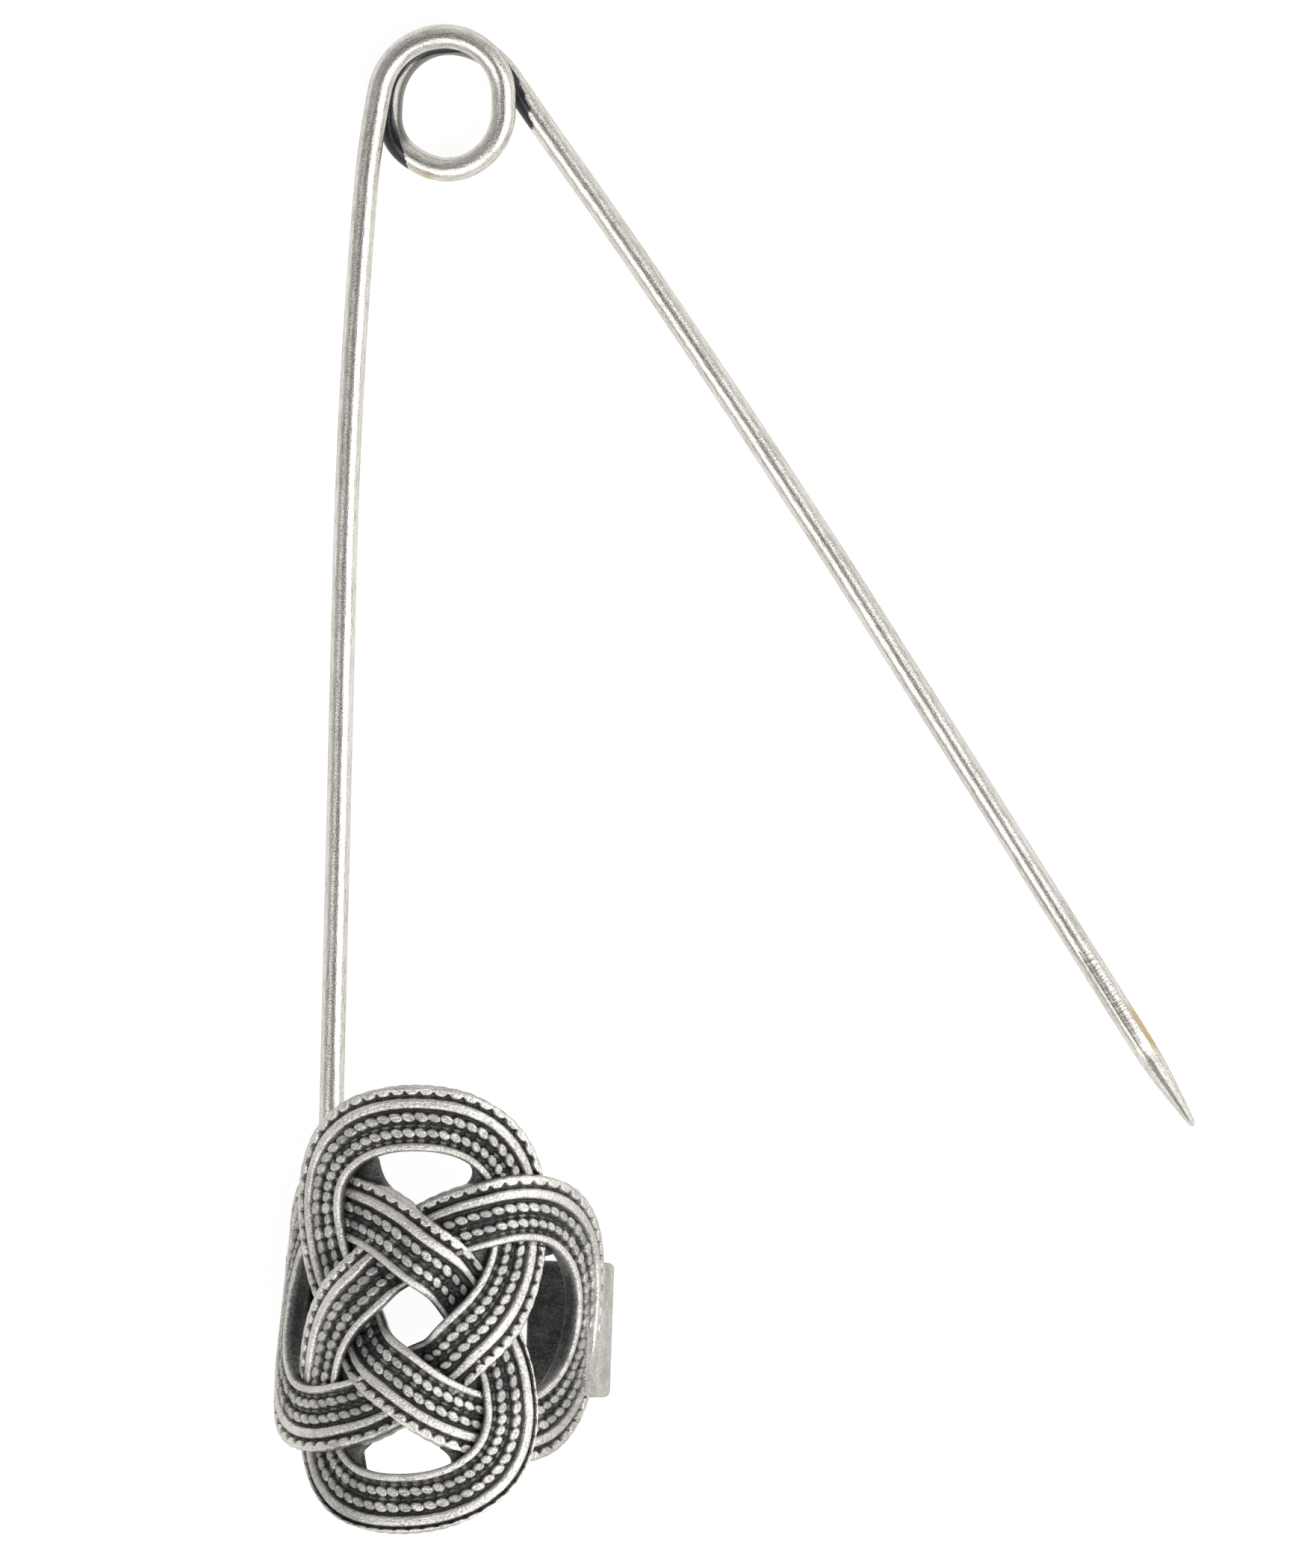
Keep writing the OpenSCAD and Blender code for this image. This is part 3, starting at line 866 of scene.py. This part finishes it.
def build_band(material):
    fine = np.linspace(FIRST_PHASE, FIRST_PHASE + WHOLE_STRAND, 10 * WHOLE_STRAND + 1)
    middle = strand(fine)
    line = wrap(middle[:, 0], middle[:, 1], WEAVE * np.sin(np.radians(2 * fine)))
    length = lengths_along(line)
    count = BEADS * RINGS_PER_BEAD
    bead_at = np.linspace(0, BEADS, count + 1)
    phase = np.interp(bead_at / BEADS * length[-1], length, fine)
    jitter = np.random.default_rng(BEAD_SEED).random(BEADS)
    rings, relief, q, h = band_rings(phase, bead_at, jitter)
    along = bead_at / BEADS * length[-1]
    place = np.stack([along[:, None] + 0 * q, q, h], -1)
    half = count // 2
    for name, part in (("band_first", slice(0, half + 1)), ("band_second", slice(half, count + 1))):
        values = {"place": place[part], "relief": relief[part]}
        obj = make_tube(name, rings[part], values, material)
        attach(obj, LEG_BODY)
        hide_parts("knot_clasp")


# Hooks and webs

HOOK_ROUND = 0.42
# Where a hook's strap starts, inside the clasp's side: how high, and how far in.
HOOK_ROOT = (0.22 * FRONT_R, 0.3 * HOOK_T)
# How bright a hook is rubbed: its inner face, and how much more its outer face.
HOOK_RELIEF = (0.13, 0.71)
# Keeps the grain of the hooks apart from the band's.
HOOK_GRAIN = 7
# The left hook's hidden end stops short of what the centre opening would show.
LEFT_HOOK_TURN = HOOK_TURN - 0.9


def hook_line(turn):
    """Middle line of a hook on the right: (x, z, heading from straight down, in degrees)."""
    side_x = FRONT_R - HOOK_INSET
    mid_x = side_x - HOOK_T / 2
    mid_r = HOOK_CORNER_R - HOOK_T / 2
    mid_z = HOOK_T / 2 - HOOK_DEPTH
    root_z, root_in = HOOK_ROOT
    rows = [(mid_x - root_in, root_z, 0)]
    rows += [(mid_x, z, 0) for z in np.linspace(root_in, mid_z + mid_r, 22)]
    for a in np.linspace(0, 90, 13)[1:]:
        r = math.radians(a)
        rows.append((mid_x - mid_r + mid_r * math.cos(r), mid_z + mid_r - mid_r * math.sin(r), a))
    start, end = mid_x - mid_r, side_x - turn
    rows += [(x, mid_z, 90) for x in np.linspace(start, end, 40)[1:]]
    return np.array(rows)


def strap_outline():
    """Outline across the strap, as (through its thickness, along the clasp), with rounded edges."""
    x, y, r = HOOK_T / 2, HOOK_H / 2, HOOK_ROUND
    corners = ((x - r, y - r, 0), (r - x, y - r, 90), (r - x, r - y, 180), (x - r, r - y, 270))
    points = []
    for cx, cy, start in corners:
        for a in np.radians(np.linspace(start, start + 90, 6)):
            points.append((cx + r * math.cos(a), cy + r * math.sin(a)))
    dense = []
    for (ax, ay), (bx, by) in zip(points, points[1:] + points[:1]):
        pieces = max(1, math.ceil(math.hypot(bx - ax, by - ay) / 0.4))
        dense += [(ax + (bx - ax) * k / pieces, ay + (by - ay) * k / pieces) for k in range(pieces)]
    return np.array(dense)


def build_hook(name, material, mirrored):
    """A strap hook on the right, or mirrored on the left, with its edges and its end rounded."""
    line = hook_line(LEFT_HOOK_TURN if mirrored else HOOK_TURN)
    outline = strap_outline()
    step = np.linalg.norm(np.diff(line[:, :2], axis=0), axis=1)
    along = np.concatenate([[0], np.cumsum(step)])
    rounding = 1 - np.sqrt(1 - (1 - np.clip((along[-1] - along) / HOOK_ROUND, 0, 1)) ** 2)
    a = np.radians(line[:, 2])[:, None]
    thick = outline[:, 0] * (1 - rounding[:, None] * HOOK_ROUND / (HOOK_T / 2))
    tall = outline[:, 1] * (1 - rounding[:, None] * HOOK_ROUND / (HOOK_H / 2))
    x = line[:, 0][:, None] + thick * np.cos(a)
    z = line[:, 1][:, None] - thick * np.sin(a)
    rings = np.stack([-x if mirrored else x, tall - HOOK_DROP, z], -1)
    inner, more = HOOK_RELIEF
    relief = inner + more * smooth(-0.2, 0.9, thick / (HOOK_T / 2))
    place = np.stack([along[:, None] + 0 * thick, tall, thick + HOOK_GRAIN], -1)
    if mirrored:
        rings, relief, place = rings[:, ::-1], relief[:, ::-1], place[:, ::-1]
    obj = make_tube(name, place_clasp(rings), {"place": place, "relief": relief}, material)
    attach(obj, LEG_BODY)
    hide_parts("knot_clasp")


WEB_R = (OUTER_CROSS_R + 2 * INNER_CROSS_R * math.cos(math.radians(45))) / 3
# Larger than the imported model's pads, to fill the openings' corners as the photo shows.
WEB_PAD_R = 0.44 * BAND_W
WEB_PAD_ANGLES = (45, 135, 225, 315)
WEB_RELIEF = 0.18
# Keeps the grain of the webs apart.
WEB_GRAIN = 9
WEB_T = 0.5 * BAND_T
WEB_BACK = -BAND_T - WEAVE / 3
WEB_PROFILE = ((1, 0), (0.99, 0.75), (0.93, 0.93), (0.8, 1.0), (0.5, 1.0), (0.2, 0.98))
# Height of the webs' tops over the clasp's front, at which the photo shows them.
WEB_TOP = -0.82
# Outlines of the webs that fill the outer corners of the openings, picked on the photo, in
# its pixels and counter-clockwise as seen.
CORNER_WEBS_PX = (
    (
        (462, 1590), (500, 1618), (548, 1614), (537, 1601), (521, 1589), (510, 1575), (504, 1558),
        (502, 1547), (478, 1534), (458, 1545),
    ),
    (
        (629, 1553), (637, 1567), (631, 1581), (615, 1592), (638, 1612), (676, 1592), (674, 1552),
        (650, 1533),
    ),
    (
        (488, 1896), (456, 1915), (450, 1952), (468, 1984), (491, 1978), (482, 1963), (480, 1948),
        (485, 1933), (500, 1922), (516, 1911),
    ),
    (
        (710, 1672), (722, 1682), (738, 1680), (752, 1674), (750, 1656), (728, 1648), (708, 1656),
    ),
    (
        (583, 1931), (604, 1946), (607, 1957), (604, 1968), (594, 1978), (622, 1986), (650, 1960),
        (646, 1926), (612, 1914),
    ),
)


def on_flat(picks):
    """Places picked on the photo, brought onto the clasp laid flat, to 0.01 mm."""
    px, py = np.array(picks, float).T
    x = (px - EYE_PX[0]) / PHOTO_PX_PER_MM - CLASP_AT[0]
    y = (EYE_PX[1] - py) / PHOTO_PX_PER_MM - CLASP_AT[1]
    c, s = math.cos(math.radians(CLASP_SLANT)), math.sin(math.radians(CLASP_SLANT))
    x, y = c * x - s * y, s * x + c * y
    a = np.arcsin(x / (FRONT_R + WEB_TOP)) + math.radians(CLASP_ROLL)
    return np.round(np.stack([a * FRONT_R, y], -1), 2)


def round_pad(degrees):
    """Outline of the round pad behind the three-cornered space between crossings."""
    a, t = math.radians(degrees), np.radians(np.arange(32) * 360 / 32)
    middle = WEB_R * np.array([math.cos(a), math.sin(a)])
    return middle + WEB_PAD_R * np.stack([np.cos(t), np.sin(t)], -1)


def soft_outline(corners):
    """A closed outline with its corners cut round twice."""
    points = np.array(corners, float)
    for _ in range(2):
        after = np.roll(points, -1, axis=0)
        points = np.stack([0.75 * points + 0.25 * after, 0.25 * points + 0.75 * after], 1)
        points = points.reshape(-1, 2)
    return points


def build_web(name, outline, seed, material):
    """A dark web low between the bands, from its outline on the flat."""
    shares, heights = (np.array(column)[:, None] for column in zip(*WEB_PROFILE))
    middle = outline.mean(0)
    u = middle[0] + shares * (outline[:, 0] - middle[0])
    v = middle[1] + shares * (outline[:, 1] - middle[1])
    h = WEB_BACK + WEB_T * heights + 0 * u
    rings = place_clasp(wrap(u, v, h))
    values = {
        "place": np.stack([u, v, h + WEB_GRAIN * seed], -1),
        "relief": np.full(h.shape, WEB_RELIEF),
    }
    obj = make_tube(name, rings, values, material)
    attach(obj, LEG_BODY)
    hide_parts("knot_clasp")


# Light, floor and camera

# Height of the camera in metres.
CAMERA_H = 3.5
# Height over the floor, in millimetres, at which the picture's scale holds.
SCALE_Z = 3.0
FLOOR_HALF = 900
FLOOR_CELLS = 8
FLOOR_Z = -0.02
# Grey of the studio above the floor, by the height of the direction: 0 level, 1 straight up.
SKY = ((0.0, 0.88), (0.45, 0.64), (0.80, 0.50), (0.96, 0.27), (1.0, 0.22))
SKY_TINT = (0.985, 0.99, 1.0)
# How the studio darkens to the left: the two directions along X, and the light at each.
SKY_SIDE = (-0.80, 0.10, 0.66, 1.04)
# Name, azimuth from +X towards +Y and height in degrees, distance and size in metres, and watts.
SOFTBOXES = (
    ("softbox_right", -12, 48, 1.0, (0.9, 0.75), 6.4),
    ("softbox_low", -122, 50, 1.0, (1.4, 0.62), 5.4),
)


def picture_centre():
    """The point of the floor, in metres, that the picture's centre shows."""
    x = (PHOTO_SIZE[0] / 2 - EYE_PX[0]) / PHOTO_PX_PER_MM
    y = (EYE_PX[1] - PHOTO_SIZE[1] / 2) / PHOTO_PX_PER_MM
    return x * MM, y * MM


def build_floor():
    steps = np.linspace(-FLOOR_HALF, FLOOR_HALF, FLOOR_CELLS + 1)
    points = [(x, y, FLOOR_Z) for y in steps for x in steps]
    row = FLOOR_CELLS + 1
    corners = [r * row + c for r in range(FLOOR_CELLS) for c in range(FLOOR_CELLS)]
    faces = [[k, k + 1, k + row + 1, k + row] for k in corners]
    make_mesh("floor", points, faces, {}, floor_material())


def add_softbox(name, azimuth, height, distance, size, watts):
    """An area light that faces the middle of the picture."""
    data = bpy.data.lights.new(name, "AREA")
    data.shape = "RECTANGLE"
    data.size, data.size_y = size
    data.energy = watts
    light = bpy.data.objects.new(name, data)
    a, e = math.radians(azimuth), math.radians(height)
    away = Vector((math.cos(a) * math.cos(e), math.sin(a) * math.cos(e), math.sin(e)))
    light.location = Vector((*picture_centre(), 0)) + away * distance
    light.rotation_euler = away.to_track_quat("Z", "Y").to_euler()
    bpy.context.scene.collection.objects.link(light)


def build_sky():
    """A studio that is pale at its sides and darker overhead and to the left."""
    world = bpy.data.worlds.new("studio")
    bpy.context.scene.world = world
    world.use_nodes = True
    tree = world.node_tree
    direction = tree.nodes.new("ShaderNodeTexCoord").outputs["Generated"]
    split = tree.nodes.new("ShaderNodeSeparateXYZ")
    tree.links.new(direction, split.inputs[0])
    ramp = tree.nodes.new("ShaderNodeValToRGB")
    ramp.color_ramp.interpolation = "EASE"
    while len(ramp.color_ramp.elements) < len(SKY):
        ramp.color_ramp.elements.new(0.5)
    for element, (height, grey) in zip(ramp.color_ramp.elements, SKY):
        element.position = height
        element.color = (*(grey * share for share in SKY_TINT), 1)
    tree.links.new(split.outputs["Z"], ramp.inputs[0])
    tree.links.new(ramp.outputs[0], tree.nodes["Background"].inputs["Color"])
    side = tree.nodes.new("ShaderNodeMapRange")
    side.interpolation_type = "SMOOTHSTEP"
    tree.links.new(split.outputs["X"], side.inputs["Value"])
    for socket, value in zip(("From Min", "From Max", "To Min", "To Max"), SKY_SIDE):
        side.inputs[socket].default_value = value
    tree.links.new(side.outputs["Result"], tree.nodes["Background"].inputs["Strength"])


def build_camera():
    data = bpy.data.cameras.new("camera")
    camera = bpy.data.objects.new("camera", data)
    camera.location = (*picture_centre(), CAMERA_H)
    view_height = PHOTO_SIZE[1] / PHOTO_PX_PER_MM * MM
    data.lens = data.sensor_width * (CAMERA_H - SCALE_Z * MM) / view_height
    scene = bpy.context.scene
    scene.collection.objects.link(camera)
    scene.camera = camera
    scene.view_settings.view_transform = "Standard"


build_wire(wire_material())
cast = cast_material()
build_band(cast)
build_hook("hook_right", cast, False)
build_hook("hook_left", cast, True)
webs = [round_pad(degrees) for degrees in WEB_PAD_ANGLES]
webs += [soft_outline(on_flat(picks)) for picks in CORNER_WEBS_PX]
for number, outline in enumerate(webs):
    build_web(f"web_{number}", outline, number, cast)
build_floor()
build_sky()
for softbox in SOFTBOXES:
    add_softbox(*softbox)
build_camera()

bpy.context.view_layer.update()
